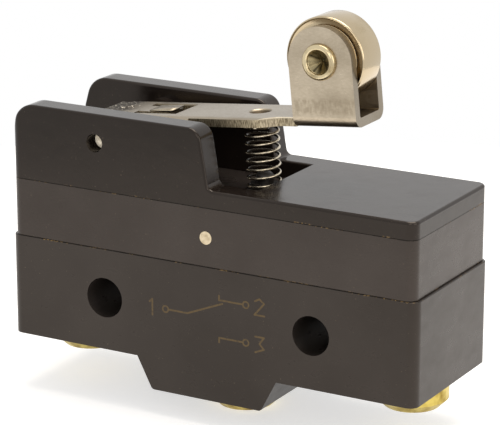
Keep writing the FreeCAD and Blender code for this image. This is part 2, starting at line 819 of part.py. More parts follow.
def blade_anchor():
    """Block on the common terminal that holds the blade at its working height."""
    body = new_body("blade_anchor")
    half = s.anchor_half_length
    pad(body, polygons(body, "anchor_plan", "XY", [box_outline(
        anchor_x - half, anchor_x + half, -s.anchor_half_width, s.anchor_half_width)],
        shelf_top), blade_z - shelf_top)
    pocket(body, discs(body, "anchor_hole", "XY", [
        (anchor_x, 0, s.rivet_radius + s.press_gap)], blade_z), blade_z - shelf_top)
    return body


def blade_rivet():
    """Rivet through the blade, its block and the common terminal."""
    body = new_body("blade_rivet")
    foot = chamber_floor + s.fit_gap
    corners = [(0, foot), (s.rivet_radius, foot), (s.rivet_radius, blade_top),
               (s.rivet_head_radius, blade_top),
               (s.rivet_crown_radius, blade_top + s.rivet_head_height),
               (0, blade_top + s.rivet_head_height)]
    turn(body, polygons(body, "rivet_section", "XZ", [corners]))
    bind(body, Placement__Base__x=anchor_x)
    return body


def tongue_anvil():
    """Post with a notch that takes the tip of the blade's tongue."""
    body = new_body("tongue_anvil")
    face = blade_window_left - s.tongue_tip_gap
    left = face - s.anvil_length
    tip = blade_z - s.blade_tongue_tip_drop + s.blade_thickness / 2
    top = blade_z - s.tongue_tip_gap
    corners = [(left, shelf_top), (face + s.anvil_notch, shelf_top),
               (face + s.anvil_notch, tip - s.anvil_notch), (face, tip),
               (face + s.anvil_lean, top), (left, top)]
    pad(body, polygons(body, "anvil_side", "XZ", [corners]),
        2 * s.blade_tongue_half_width, both=True)
    return body


def strip_terminal(label, outline, screw_x, pad_bottom, rivet_x=None):
    """A terminal folded from one strip, seen from the side, with its screw hole."""
    body = new_body(label)
    pad(body, polygons(body, label + "_side", "XZ", [outline]), 2 * s.strip_half_width, both=True)
    pocket(body, discs(body, label + "_screw_hole", "XY", [
        (screw_x, 0, s.screw_radius + s.thread_gap)], pad_bottom), s.strip_thickness, reverse=True)
    if rivet_x is not None:
        pocket(body, discs(body, label + "_rivet_hole", "XY", [
            (rivet_x, 0, s.rivet_radius + s.press_gap)], shelf_top), s.strip_thickness)
    return body


def common_terminal():
    """Left terminal: pad below, riser in the end wall and shelf under the blade's block."""
    thick = s.strip_thickness
    out = -riser_x
    end = out + s.common_flange_length
    outline = [(out, base_bottom), (out + s.pad_reach, base_bottom),
               (out + s.pad_reach, base_bottom + thick), (out + thick, base_bottom + thick),
               (out + thick, chamber_floor), (end, chamber_floor),
               (end, shelf_top), (out, shelf_top)]
    return strip_terminal("common_terminal", outline, -terminal_screw_x, base_bottom, anchor_x)


def upper_terminal():
    """Right terminal, whose flange lies over the moving contact."""
    thick = s.strip_thickness
    out = riser_x
    end = out - s.upper_flange_length
    under = upper_flange_z()
    outline = [(out, base_bottom), (out - s.pad_reach, base_bottom),
               (out - s.pad_reach, base_bottom + thick), (out - thick, base_bottom + thick),
               (out - thick, under), (end, under), (end, under + thick), (out, under + thick)]
    return strip_terminal("upper_terminal", outline, terminal_screw_x, base_bottom)


def lower_terminal():
    """Middle terminal, whose flange runs along the chamber's floor under the moving contact."""
    thick = s.strip_thickness
    half = s.centre_pad_half
    end = riser_x - s.lower_flange_inset
    outline = [(-half, boss_bottom), (half, boss_bottom), (half, chamber_floor),
               (end, chamber_floor), (end, shelf_top), (half - thick, shelf_top),
               (half - thick, boss_bottom + thick), (-half, boss_bottom + thick)]
    return strip_terminal("lower_terminal", outline, as_size(0), boss_bottom)


def upper_contact_face():
    """Level where the moving contact rests against the upper one."""
    return blade_top + s.button_height


def upper_flange_z():
    """Underside of the upper terminal's flange, one strip below the chamber's roof."""
    return chamber_roof - s.strip_thickness - s.pretravel


def screw_places():
    """Each terminal screw's place along the case and the level of its terminal pad."""
    return [(-terminal_screw_x, base_bottom), (as_size(0), boss_bottom),
            (terminal_screw_x, base_bottom)]


def primitive(kind, name, x, z, **sizes):
    thing = doc.addObject("Part::" + kind, name)
    bind(thing, Placement__Base__x=x, Placement__Base__z=z, **sizes)
    return thing


def combine(kind, name, base, tool):
    result = doc.addObject("Part::" + kind, name)
    result.Base = base
    result.Tool = tool
    return result


def terminal_screw(number, x, seat):
    """Pan head with a cross slot, under a shank that goes up into the case."""
    head_top = seat - s.washer_thickness
    bottom = head_top - s.screw_head_height
    rim = s.screw_head_height - s.screw_head_rounding
    disc = primitive("Cylinder", f"head_disc_{number}", x, head_top - rim,
                     Radius=s.screw_head_radius, Height=rim)
    crown = primitive("Cone", f"head_crown_{number}", x, bottom,
                      Radius1=s.screw_head_radius - s.screw_head_rounding,
                      Radius2=s.screw_head_radius, Height=s.screw_head_rounding)
    shank = primitive("Cylinder", f"shank_{number}", x, head_top,
                      Radius=s.screw_radius, Height=s.screw_length + s.washer_thickness)
    solid = combine("Fuse", f"head_{number}", disc, crown)
    solid = combine("Fuse", f"screw_blank_{number}", solid, shank)
    long_side = s.screw_slot_length
    for name, along, across in (("slot_a", long_side, s.screw_slot_width),
                                ("slot_b", s.screw_slot_width, long_side)):
        slot = primitive("Box", f"{name}_{number}", x - along / 2, bottom,
                         Length=along, Width=across, Height=s.screw_slot_depth,
                         Placement__Base__y=-across / 2)
        solid = combine("Cut", f"{name}_cut_{number}", solid, slot)
    return solid


def lock_washer(number, x, seat):
    """Split ring between a screw head and its terminal."""
    bottom = seat - s.washer_thickness
    ring = primitive("Cylinder", f"ring_{number}", x, bottom,
                     Radius=s.washer_radius, Height=s.washer_thickness)
    hole = primitive("Cylinder", f"ring_hole_{number}", x, bottom,
                     Radius=s.screw_radius + s.thread_gap, Height=s.washer_thickness)
    split = primitive("Box", f"ring_split_{number}", x, bottom,
                      Length=s.washer_radius, Width=s.washer_split, Height=s.washer_thickness,
                      Placement__Base__y=-s.washer_split / 2)
    whole = combine("Cut", f"ring_cut_{number}", ring, hole)
    return combine("Cut", f"washer_{number}", whole, split)


def group(label, solids):
    compound = doc.addObject("Part::Compound", label)
    compound.Label = label
    compound.Links = solids
    return compound


def fasteners(label, maker):
    return group(label, [maker(number, x, seat)
                         for number, (x, seat) in enumerate(screw_places(), start=1)])


def build():
    """Every sub-part of the switch."""
    return [
        base_case(),
        middle_cover(),
        actuator_housing(),
        straight_pin("cross_pin", s.cross_pin_x, cross_pin_z, s.cross_pin_radius, s.case_width),
        straight_pin("hinge_pin", s.hinge_x, hinge_z, s.hinge_pin_radius,
                     s.case_width - 2 * s.hinge_pin_recess),
        lever(),
        roller_axle(),
        roller(),
        plunger(),
        return_spring(),
        snap_blade(),
        blade_anchor(),
        blade_rivet(),
        tongue_anvil(),
        moving_contact(),
        fixed_contact("upper_contact", upper_contact_face(), upper_flange_z()),
        fixed_contact("lower_contact", shelf_top, blade_z - s.button_height - s.contact_gap),
        common_terminal(),
        upper_terminal(),
        lower_terminal(),
        fasteners("terminal_screws", terminal_screw),
        fasteners("lock_washers", lock_washer),
    ]


def check(nodes):
    """Stop if any object failed or any sub-part is empty or broken."""
    faults = [o.Name for o in doc.Objects if {"Invalid", "Error"} & set(o.State)]
    faults += [n.Label for n in nodes if n.Shape.isNull() or not n.Shape.isValid()]
    if faults:
        raise RuntimeError("These objects failed: " + ", ".join(faults))


nodes = build()
doc.recompute()
check(nodes)
os.makedirs("parts", exist_ok=True)
for node in nodes:
    node.Shape.exportStep(f"parts/{node.Label}.step")
    box = node.Shape.BoundBox
    print(f"{node.Label}: {len(node.Shape.Solids)} solid, {node.Shape.Volume:.2f} mm3, "
          f"x {box.XMin:.2f} {box.XMax:.2f}, z {box.ZMin:.2f} {box.ZMax:.2f}")
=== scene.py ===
# %% [markdown]
# # A roller lever limit switch, dressed for its portrait
#
# The real thing is a basic snap-action switch. Three blocks of dark moulded
# phenolic are stacked on each other, a nickelled sheet steel lever is hinged
# between two ears on top, a small roller turns in the fork at the lever's end
# and an open coil spring lifts the lever off the plunger.
#
# The solids come ready made from the CAD model. What is left for Blender is
# the surface of everything, the coil wire and the fine hardware that deserves
# more detail than a solid gives.

# %% Load the solids
from math import cos, pi, radians, sin

import bmesh
import bpy
from mathutils import Matrix, Vector


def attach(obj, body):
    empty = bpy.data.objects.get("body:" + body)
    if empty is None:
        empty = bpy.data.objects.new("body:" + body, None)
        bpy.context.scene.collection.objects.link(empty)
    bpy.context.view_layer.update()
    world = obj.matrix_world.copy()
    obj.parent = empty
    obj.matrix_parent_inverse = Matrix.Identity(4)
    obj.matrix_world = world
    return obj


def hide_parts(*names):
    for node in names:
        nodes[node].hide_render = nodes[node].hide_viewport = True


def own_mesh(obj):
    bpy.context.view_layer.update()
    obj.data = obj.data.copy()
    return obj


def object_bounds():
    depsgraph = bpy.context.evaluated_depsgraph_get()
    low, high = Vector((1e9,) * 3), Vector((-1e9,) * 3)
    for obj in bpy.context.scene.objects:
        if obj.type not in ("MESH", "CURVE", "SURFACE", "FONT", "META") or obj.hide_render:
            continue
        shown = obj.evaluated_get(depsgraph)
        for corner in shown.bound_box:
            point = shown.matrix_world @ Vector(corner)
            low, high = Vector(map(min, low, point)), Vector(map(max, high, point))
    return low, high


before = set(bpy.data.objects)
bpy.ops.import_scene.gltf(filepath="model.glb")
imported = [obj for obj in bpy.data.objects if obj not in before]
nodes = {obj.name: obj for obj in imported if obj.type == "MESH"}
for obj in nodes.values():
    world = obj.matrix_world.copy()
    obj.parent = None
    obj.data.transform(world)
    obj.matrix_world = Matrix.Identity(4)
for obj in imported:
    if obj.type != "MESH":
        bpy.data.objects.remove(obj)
cad_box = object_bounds()
MM = 0.001
print(len(nodes), "solids loaded, box", cad_box)

# %% [markdown]
# ## The camera
#
# A camera can be aimed with a constraint or by hand. Here its place was worked
# out from the two mounting holes, whose distance is known, so it is written
# down as a heading, a height above the horizon and a distance, and the
# rotation is built from the three directions that they give.

# %% Camera
HEADING = radians(29.734)
HEIGHT = radians(16.408)
DISTANCE = 270.528 * MM
SIDEWAYS = 0.42 * MM
UPWARDS = 8.885 * MM

towards_camera = Vector((sin(HEADING) * cos(HEIGHT), -cos(HEADING) * cos(HEIGHT), sin(HEIGHT)))
camera_right = Vector((cos(HEADING), sin(HEADING), 0))
camera_up = towards_camera.cross(camera_right)

camera = bpy.data.objects.new("camera", bpy.data.cameras.new("camera"))
bpy.context.scene.collection.objects.link(camera)
camera.matrix_world = Matrix((camera_right, camera_up, towards_camera)).transposed().to_4x4()
camera.location = towards_camera * DISTANCE + camera_right * SIDEWAYS + camera_up * UPWARDS
camera.data.sensor_width = 36
camera.data.lens = 178.7
camera.data.clip_start = 0.01
bpy.context.scene.camera = camera
print("camera stands at", [round(c, 3) for c in camera.location])

# %% [markdown]
# ## Helpers for node materials
#
# A finish is a small network of nodes. Making one by hand in the editor means
# adding a node, setting its values and pulling noodles. These helpers do the
# same three things in one line each, so that a finish reads as a recipe.

# %% Node helpers
def add(tree, kind, inputs=None, **settings):
    """Add a node. An input is a number, a colour or another node's output."""
    node = tree.nodes.new(kind)
    for name, value in settings.items():
        setattr(node, name, value)
    for socket, value in (inputs or {}).items():
        if isinstance(value, bpy.types.NodeSocket):
            tree.links.new(value, node.inputs[socket])
        else:
            node.inputs[socket].default_value = value
    return node


def new_finish(name, **sockets):
    """A material with its constants set straight on the shader's sockets."""
    material = bpy.data.materials.new(name)
    material.use_nodes = True
    shader = material.node_tree.nodes["Principled BSDF"]
    for socket, value in sockets.items():
        shader.inputs[socket.replace("_", " ")].default_value = value
    return material, material.node_tree, shader


def srgb(red, green, blue):
    """A colour as it is read off a picture, 0 to 255, in Blender's linear scale."""
    channels = [c / 255 for c in (red, green, blue)]
    return [c / 12.92 if c <= 0.04045 else ((c + 0.055) / 1.055) ** 2.4 for c in channels] + [1]


def own_place(tree, move=(0, 0, 0), stretch=(1, 1, 1)):
    """Object coordinates, moved and stretched by a Mapping node."""
    place = add(tree, "ShaderNodeTexCoord").outputs["Object"]
    return add(tree, "ShaderNodeMapping", {"Vector": place, "Location": move,
               "Scale": stretch}).outputs["Vector"]


def band(tree, value, low, high, out_low=0.0, out_high=1.0):
    """Spread the part of a value between low and high over a new range."""
    return add(tree, "ShaderNodeMapRange", {"Value": value, "From Min": low, "From Max": high,
               "To Min": out_low, "To Max": out_high}).outputs["Result"]


def noise(tree, place, scale, low=0.3, high=0.7, detail=3.0):
    """Soft noise, spread so that its usual range becomes 0 to 1."""
    value = add(tree, "ShaderNodeTexNoise", {"Vector": place, "Scale": scale,
                "Detail": detail}).outputs["Fac"]
    return band(tree, value, low, high)


def maths(tree, operation, first, second=0.0):
    """One step of arithmetic between two values."""
    return add(tree, "ShaderNodeMath", {0: first, 1: second}, operation=operation).outputs[0]


def blend_colours(tree, factor, first, second):
    """The first colour where the factor is 0, the second where it is 1."""
    return add(tree, "ShaderNodeMixRGB", {"Fac": factor, "Color1": first,
               "Color2": second}).outputs["Color"]


def bump(tree, height, distance, strength=1.0):
    """Turn a height into a normal; the distance is the real depth in metres."""
    return add(tree, "ShaderNodeBump", {"Height": height, "Distance": distance,
               "Strength": strength}).outputs["Normal"]


print("node helpers ready")

# %% [markdown]
# ## Floor, backdrop and light
#
# The photograph is a plain catalogue picture: white all round, and light from
# every side as in a light tent. The world is therefore a pale dome, and a
# large soft lamp above and one to the right give the deck and the end face
# their sheen. The floor is white to the camera but still takes the shadow.

# %% World
world = bpy.data.worlds.new("tent")
bpy.context.scene.world = world
world.use_nodes = True
sky = world.node_tree


def seen_directly(tree, *kinds):
    """1 for the kinds of rays that are named, 0 for the light that falls on things."""
    rays = add(tree, "ShaderNodeLightPath")
    value = 0.0
    for kind in kinds:
        value = maths(tree, "MAXIMUM", value, rays.outputs[f"Is {kind} Ray"])
    return value


backdrop = seen_directly(sky, "Camera", "Glossy", "Transmission")
sky.links.new(band(sky, backdrop, 0, 1, 0.47, 1.0), sky.nodes["Background"].inputs["Strength"])
sky.nodes["Background"].inputs["Color"].default_value = (1, 1, 1, 1)

# %% Floor
FLOOR_GAP = 0.01 * MM
FLOOR = cad_box[0][2] - FLOOR_GAP
floor_mesh = bmesh.new()
bmesh.ops.create_circle(floor_mesh, cap_ends=True, segments=128, radius=0.115)
bmesh.ops.translate(floor_mesh, vec=(0, 0, FLOOR), verts=floor_mesh.verts)
floor = bpy.data.objects.new("floor", bpy.data.meshes.new("floor"))
floor_mesh.to_mesh(floor.data)
floor_mesh.free()
bpy.context.scene.collection.objects.link(floor)

paper, tree, shader = new_finish("white_paper", Roughness=0.9, Emission_Color=(1, 1, 1, 1))
shader.inputs["Specular IOR Level"].default_value = 0.1
grain = noise(tree, own_place(tree), 900, 0.2, 0.8)
tree.links.new(blend_colours(tree, grain, srgb(212, 212, 212), srgb(218, 218, 218)),
               shader.inputs["Base Color"])
tree.links.new(band(tree, seen_directly(tree, "Camera", "Glossy", "Transmission"), 0, 1, 0, 0.6),
               shader.inputs["Emission Strength"])
floor.data.materials.append(paper)

# %% Lamps
def soft_lamp(name, place, aim, size, power):
    """A square area lamp at a place, turned to face a point, in the warm white of a studio."""
    lamp = bpy.data.lights.new(name, "AREA")
    lamp.color = (1, 0.93, 0.84)
    lamp.shape, lamp.size, lamp.energy = "SQUARE", size, power
    holder = bpy.data.objects.new(name, lamp)
    bpy.context.scene.collection.objects.link(holder)
    holder.location = place
    holder.rotation_euler = (Vector(aim) - Vector(place)).to_track_quat("-Z", "Y").to_euler()
    return holder


soft_lamp("top", (0.05, 0.1, 0.6), (0, 0, 0), 0.45, 3.4)
soft_lamp("right", (0.6, -0.1, 0.2), (0, 0, 0), 0.4, 0.9)
soft_lamp("front", (0.3, -0.6, 0.35), (0, 0, 0), 0.3, 0.7)
print("three lamps over the floor at", round(FLOOR, 5))

# %% [markdown]
# ## Phenolic
#
# The case is pressed from a dark, warm brown-black thermoset. It comes glossy
# out of the mould, with a faint unevenness that shows only in reflections,
# pin-prick pits, and light specks of filler. The three blocks differ a little
# in tone, so one recipe is used three times with its own colours.

# %% Phenolic recipe
def part_of(tree, vector, axis):
    """One of the three numbers in a vector."""
    return add(tree, "ShaderNodeSeparateXYZ", {"Vector": vector}).outputs[axis]


def near_level(tree, place, level, reach):
    """1 at a height, falling to 0 at the given distance from it."""
    away = maths(tree, "ABSOLUTE", maths(tree, "SUBTRACT", part_of(tree, place, "Z"), level))
    return band(tree, away, reach, reach / 3)


def phenolic(name, dark, light, roughness, ior, seed, seams):
    """Moulded thermoset: close browns, filler specks, an uneven gloss and its parting lines."""
    material, tree, shader = new_finish(name, IOR=ior, Specular_Tint=(1, 0.88, 0.78, 1))
    place = own_place(tree)
    moved = own_place(tree, move=(seed, seed, seed))
    colour = blend_colours(tree, noise(tree, moved, 70, 0.35, 0.65, 4.0), dark, light)
    specks = noise(tree, moved, 5200, 0.74, 0.8, detail=1.0)
    colour = blend_colours(tree, maths(tree, "MULTIPLY", specks, 0.3), colour, srgb(142, 128, 108))
    flash = noise(tree, moved, 3000, 0.5, 0.62, 2.0)
    upwards = part_of(tree, add(tree, "ShaderNodeTexCoord").outputs["Normal"], "Z")
    wall = band(tree, maths(tree, "ABSOLUTE", upwards), 0.95, 0.85)
    flash = maths(tree, "MULTIPLY", flash, wall)
    for level in seams:
        line = maths(tree, "MULTIPLY", near_level(tree, place, level, 0.1 * MM),
                     noise(tree, moved, 500, 0.3, 0.5, 2.0))
        colour = blend_colours(tree, maths(tree, "MULTIPLY", line, wall), colour, srgb(16, 13, 11))
        gold = maths(tree, "MULTIPLY", near_level(tree, place, level, 0.14 * MM), flash)
        gold = maths(tree, "MULTIPLY", gold, noise(tree, moved, 260, 0.55, 0.7, 2.0))
        colour = blend_colours(tree, gold, colour, srgb(168, 138, 92))
    film = noise(tree, own_place(tree, move=(seed, 0, 0), stretch=(1, 1, 2.2)), 420, 0.3, 0.7, 5.0)
    tree.links.new(band(tree, film, 0, 1, roughness - 0.04, roughness + 0.06),
                   shader.inputs["Roughness"])
    skin = maths(tree, "SUBTRACT", noise(tree, moved, 900, 0.2, 0.8), specks)
    tree.links.new(bump(tree, skin, 0.00001, 0.5), shader.inputs["Normal"])
    tree.links.new(colour, shader.inputs["Base Color"])
    return material


BASE_TOP = 5.5 * MM
COVER_TOP = 12 * MM
finishes = {
    "phenolic_base": phenolic("phenolic_base", srgb(38, 33, 30), srgb(52, 47, 44), 0.3, 1.42,
                              1.0, [BASE_TOP]),
    "phenolic_cover": phenolic("phenolic_cover", srgb(48, 42, 39), srgb(64, 58, 55), 0.28, 1.42,
                               2.0, [BASE_TOP, COVER_TOP]),
    "phenolic_housing": phenolic("phenolic_housing", srgb(25, 20, 17), srgb(35, 29, 26), 0.16, 1.4,
                                 3.0, [COVER_TOP]),
}
print("phenolic finishes:", sorted(finishes))

# %% [markdown]
# ## The printed mark
#
# A switch like this carries its ratings in faint gold ink. Here that place
# holds a plain contact diagram instead, with the numbers of its three
# terminals. It could be a picture on the face, but a few strokes need none:
# each is the distance to a line, which a handful of nodes works out.

# %% Strokes of ink
def stroke(tree, place, start, end, width):
    """1 on a straight stroke of ink on the front face, 0 beside it."""
    first = Vector((start[0], 0, start[1])) * MM
    span = Vector((end[0], 0, end[1])) * MM - first
    across = add(tree, "ShaderNodeVectorMath", {0: place, 1: first},
                 operation="SUBTRACT").outputs[0]
    share = add(tree, "ShaderNodeVectorMath", {0: across, 1: span}, operation="DOT_PRODUCT")
    share = band(tree, share.outputs["Value"], 0, span.length_squared)
    nearest = add(tree, "ShaderNodeVectorMath", {0: span, "Scale": share}, operation="SCALE")
    rest = add(tree, "ShaderNodeVectorMath", {0: across, 1: nearest.outputs[0]},
               operation="SUBTRACT")
    away = add(tree, "ShaderNodeVectorMath", {0: rest.outputs[0]}, operation="LENGTH")
    return band(tree, away.outputs["Value"], width * 0.6 * MM, width * 0.4 * MM)


def ring_of_ink(tree, place, centre, radius, width):
    """1 on a small circle of ink on the front face."""
    middle = Vector((centre[0], 0, centre[1])) * MM
    away = add(tree, "ShaderNodeVectorMath", {0: place, 1: middle}, operation="DISTANCE")
    off = maths(tree, "ABSOLUTE", maths(tree, "SUBTRACT", away.outputs["Value"], radius * MM))
    return band(tree, off, width * 0.6 * MM, width * 0.4 * MM)


DIGITS = {
    1: [((-0.35, 0.55), (0, 0.9)), ((0, 0.9), (0, -0.9))],
    2: [((-0.55, 0.6), (0, 0.9)), ((0, 0.9), (0.55, 0.45)), ((0.55, 0.45), (-0.6, -0.9)),
        ((-0.6, -0.9), (0.6, -0.9))],
    3: [((-0.5, 0.9), (0.55, 0.9)), ((0.55, 0.9), (0, 0.15)), ((0, 0.15), (0.55, -0.4)),
        ((0.55, -0.4), (-0.5, -0.85))],
}

# %% The contact diagram
base = finishes["phenolic_base"].node_tree
spot = own_place(base)
flat_spot = add(base, "ShaderNodeVectorMath", {0: spot, 1: (1, 0, 1)},
                operation="MULTIPLY").outputs[0]
wires = [((-4.6, 0), (-2.2, 0)), ((-2.2, 0), (2.1, 1.75)), ((1.7, 2.1), (4.6, 2.1)),
         ((1.7, -2.1), (4.6, -2.1)), ((1.7, 2.1), (1.7, 2.6)), ((1.7, -2.1), (1.7, -2.6))]
for digit, (across, up) in {1: (-6.6, 0), 2: (6.6, 2.1), 3: (6.6, -2.1)}.items():
    wires += [((x0 + across, z0 + up), (x1 + across, z1 + up))
              for (x0, z0), (x1, z1) in DIGITS[digit]]
marks = [stroke(base, flat_spot, start, end, 0.2) for start, end in wires]
marks += [ring_of_ink(base, flat_spot, place, 0.35, 0.18)
          for place in ((-4.95, 0), (4.95, 2.1), (4.95, -2.1))]
ink = marks[0]
for mark in marks[1:]:
    ink = maths(base, "MAXIMUM", ink, mark)
facing = part_of(base, add(base, "ShaderNodeTexCoord").outputs["Normal"], "Y")
ink = maths(base, "MULTIPLY", ink, band(base, facing, -0.8, -0.95))
ink = maths(base, "MULTIPLY", ink, noise(base, own_place(base), 4200, 0.1, 0.5, 2.0))
base_shader = base.nodes["Principled BSDF"]
plain = base_shader.inputs["Base Color"].links[0].from_socket
base.links.new(blend_colours(base, maths(base, "MULTIPLY", ink, 0.75), plain, srgb(112, 92, 56)),
               base_shader.inputs["Base Color"])
print("contact diagram of", len(marks), "strokes")

# %% [markdown]
# ## Nickelled sheet steel
#
# The lever is stamped from strip steel and nickelled. Its faces are satin with
# fine scratches along the strip, its sheared edges show the upright tear marks
# of the press, and the end in the slot is dull and worn, and painted dark as
# painted shade. The grain follows the strip, which lies at a slope, so the
# coordinates are turned by that slope.

# %% Lever sheet
LEVER_TILT = radians(5.79)
HINGE = Vector((-13.7, 0, 17.2)) * MM
SHEET_TOP = HINGE.z + 1.987 * MM
FORK_START = HINGE.x + 21.43 * MM
DIMPLE = HINGE + Vector((15.75, 0, 1.6)) * MM


def along_lever(tree, stretch=(1, 1, 1)):
    """Object coordinates with X along the lever's sheet."""
    levelled = add(tree, "ShaderNodeVectorRotate", {"Vector": own_place(tree), "Center": HINGE,
                   "Axis": (0, 1, 0), "Angle": LEVER_TILT}).outputs["Vector"]
    return add(tree, "ShaderNodeMapping", {"Vector": levelled, "Scale": stretch}).outputs["Vector"]


def inside(tree, value, low, high, soft):
    """1 where a value lies between two limits, with soft ends."""
    return maths(tree, "MULTIPLY", band(tree, value, low - soft, low + soft),
                 band(tree, value, high + soft, high - soft))


def sheet_steel(name):
    """Satin nickel with sheared edges, a rubbed patch on the fork and a dull end; painted highlights
    on the cheeks and top edge, painted shade in the dimple and at the end.
    """
    material, tree, shader = new_finish(name, Metallic=1.0)
    place = along_lever(tree)
    along, height = part_of(tree, place, "X"), part_of(tree, place, "Z")
    grain = noise(tree, along_lever(tree, (0.4, 1, 1)), 6500, 0.3, 0.7, 4.0)
    stains = noise(tree, place, 260, 0.42, 0.68, 5.0)
    sideways = part_of(tree, add(tree, "ShaderNodeTexCoord").outputs["Normal"], "Y")
    side = band(tree, maths(tree, "ABSOLUTE", sideways), 0.6, 0.9)
    # The faces that face sideways, the fork's cheeks, are painted lighter than the top: a painted
    # highlight for how the light falls on them.
    clean = blend_colours(tree, side, srgb(158, 148, 132), srgb(190, 177, 156))
    colour = blend_colours(tree, maths(tree, "MULTIPLY", stains, 0.5), clean, srgb(138, 126, 106))
    colour = blend_colours(tree, maths(tree, "MULTIPLY", grain, 0.2), colour, srgb(116, 104, 86))

    tears = noise(tree, along_lever(tree, (1.3, 1, 0.3)), 7000, 0.34, 0.66, 4.0)
    sheared = maths(tree, "MULTIPLY", side, band(tree, along, FORK_START, FORK_START - 0.1 * MM))
    # A bright line along the top of the sheared sides: a painted highlight on the rounded edge of
    # the burr.
    burr_highlight = maths(tree, "MULTIPLY", side,
                 band(tree, height, SHEET_TOP - 0.16 * MM, SHEET_TOP - 0.1 * MM))
    edge_colour = blend_colours(tree, tears, srgb(104, 92, 72), srgb(196, 182, 154))
    edge_colour = blend_colours(tree, burr_highlight, edge_colour, srgb(232, 220, 196))
    colour = blend_colours(tree, sheared, colour, edge_colour)

    patch = maths(tree, "MULTIPLY", side, inside(tree, height, SHEET_TOP + 0.5 * MM,
                  SHEET_TOP + 2.1 * MM, 0.2 * MM))
    patch = maths(tree, "MULTIPLY", patch, band(tree, along, FORK_START, FORK_START + 0.4 * MM))
    strokes = noise(tree, along_lever(tree, (1, 1, 0.4)), 3600, 0.3, 0.62, 5.0)
    rubbed = maths(tree, "MULTIPLY", patch, strokes)
    colour = blend_colours(tree, maths(tree, "MULTIPLY", rubbed, 0.4), colour, srgb(132, 119, 98))

    pit_place = add(tree, "ShaderNodeVectorMath", {0: place, 1: DIMPLE}, operation="DISTANCE")
    in_pit = band(tree, pit_place.outputs["Value"], 1.3 * MM, 1.1 * MM)
    # The dimple's hollow is painted darker: painted shade in the pit.
    colour = blend_colours(tree, in_pit, colour, srgb(84, 74, 60))

    # The end by the hinge is rough and pitted, and its colour is painted dark as painted shade, with
    # bright specks.
    dull = band(tree, along, -0.0118, -0.0152)
    crust = noise(tree, place, 1500, 0.3, 0.7, 6.0)
    end_shade_colour = blend_colours(tree, crust, srgb(42, 39, 36), srgb(84, 79, 72))
    sparks = noise(tree, place, 5200, 0.62, 0.68, 2.0)
    end_shade_colour = blend_colours(tree, sparks, end_shade_colour, srgb(214, 206, 192))
    colour = blend_colours(tree, dull, colour, end_shade_colour)
    tree.links.new(colour, shader.inputs["Base Color"])

    rough = band(tree, grain, 0, 1, 0.27, 0.37)
    for share, amount in ((sheared, 0.12), (rubbed, 0.15), (in_pit, 0.3), (dull, 0.3)):
        rough = maths(tree, "ADD", rough, maths(tree, "MULTIPLY", share, amount))
    tree.links.new(rough, shader.inputs["Roughness"])
    relief = maths(tree, "ADD", maths(tree, "MULTIPLY", grain, 0.15),
                   maths(tree, "MULTIPLY", tears, sheared))
    relief = maths(tree, "SUBTRACT", relief, maths(tree, "MULTIPLY", crust, dull))
    tree.links.new(bump(tree, relief, 0.00002, 0.5), shader.inputs["Normal"])
    return material


finishes["lever_steel"] = sheet_steel("lever_steel")
print("sheet finish made")

# %% [markdown]
# ## Turned and drawn metals
#
# The roller, its axle, the pins, the screws and the contacts are all turned,
# drawn or rolled metal. What tells them apart is the colour, how bright they
# are and how much they have tarnished, so one recipe takes these as values.

# %% Turned metals
def bright_metal(name, clean, tarnished, roughness, tarnish, size):
    """A metal with patches of tarnish and fine tool marks."""
    material, tree, shader = new_finish(name, Metallic=1.0)
    place = own_place(tree)
    patches = noise(tree, place, size, 0.6 - 0.3 * tarnish, 0.75, 5.0)
    marks = noise(tree, place, 7000, 0.3, 0.7, 3.0)
    tree.links.new(blend_colours(tree, patches, clean, tarnished), shader.inputs["Base Color"])
    dull = maths(tree, "ADD", band(tree, patches, 0, 1, roughness, roughness + 0.22),
                 maths(tree, "MULTIPLY", marks, 0.06))
    tree.links.new(dull, shader.inputs["Roughness"])
    tree.links.new(bump(tree, marks, 0.000004, 0.5), shader.inputs["Normal"])
    return material


# Each row: the clean colour, the tarnished one, the roughness, the share that has
# tarnished and how fine the patches are.
METALS = {
    "roller_steel": ((190, 173, 143), (172, 155, 124), 0.13, 0.3, 300),
    "rivet_steel": ((208, 192, 156), (146, 130, 98), 0.16, 0.5, 900),
    "pin_steel": ((230, 218, 198), (176, 165, 142), 0.16, 0.3, 900),
    "pin_brass": ((206, 191, 163), (176, 160, 130), 0.3, 0.5, 1500),
    "spring_steel": ((206, 194, 172), (140, 128, 106), 0.14, 0.4, 900),
    "blade_copper": ((214, 150, 110), (150, 92, 62), 0.24, 0.5, 500),
    "contact_silver": ((226, 224, 218), (168, 160, 148), 0.18, 0.5, 1200),
    "terminal_brass": ((206, 184, 104), (152, 126, 62), 0.26, 0.5, 500),
    "screw_brass": ((202, 182, 98), (142, 116, 50), 0.3, 0.6, 700),
    "washer_brass": ((200, 178, 92), (140, 112, 50), 0.32, 0.6, 700),
}
for name, (clean, tarnished, *values) in METALS.items():
    finishes[name] = bright_metal(name, srgb(*clean), srgb(*tarnished), *values)
print(len(finishes), "finishes so far")

# %% Plunger resin
def plunger_resin(name):
    """The plunger is a darker moulding, rubbed matte where the coil sits."""
    material, tree, shader = new_finish(name)
    place = own_place(tree)
    rubbed = noise(tree, place, 1500, 0.35, 0.65)
    tree.links.new(blend_colours(tree, rubbed, srgb(34, 31, 29), srgb(58, 53, 48)),
                   shader.inputs["Base Color"])
    tree.links.new(band(tree, rubbed, 0, 1, 0.3, 0.5), shader.inputs["Roughness"])
    tree.links.new(bump(tree, rubbed, 0.00001, 0.4), shader.inputs["Normal"])
    return material


finishes["plunger_resin"] = plunger_resin("plunger_resin")
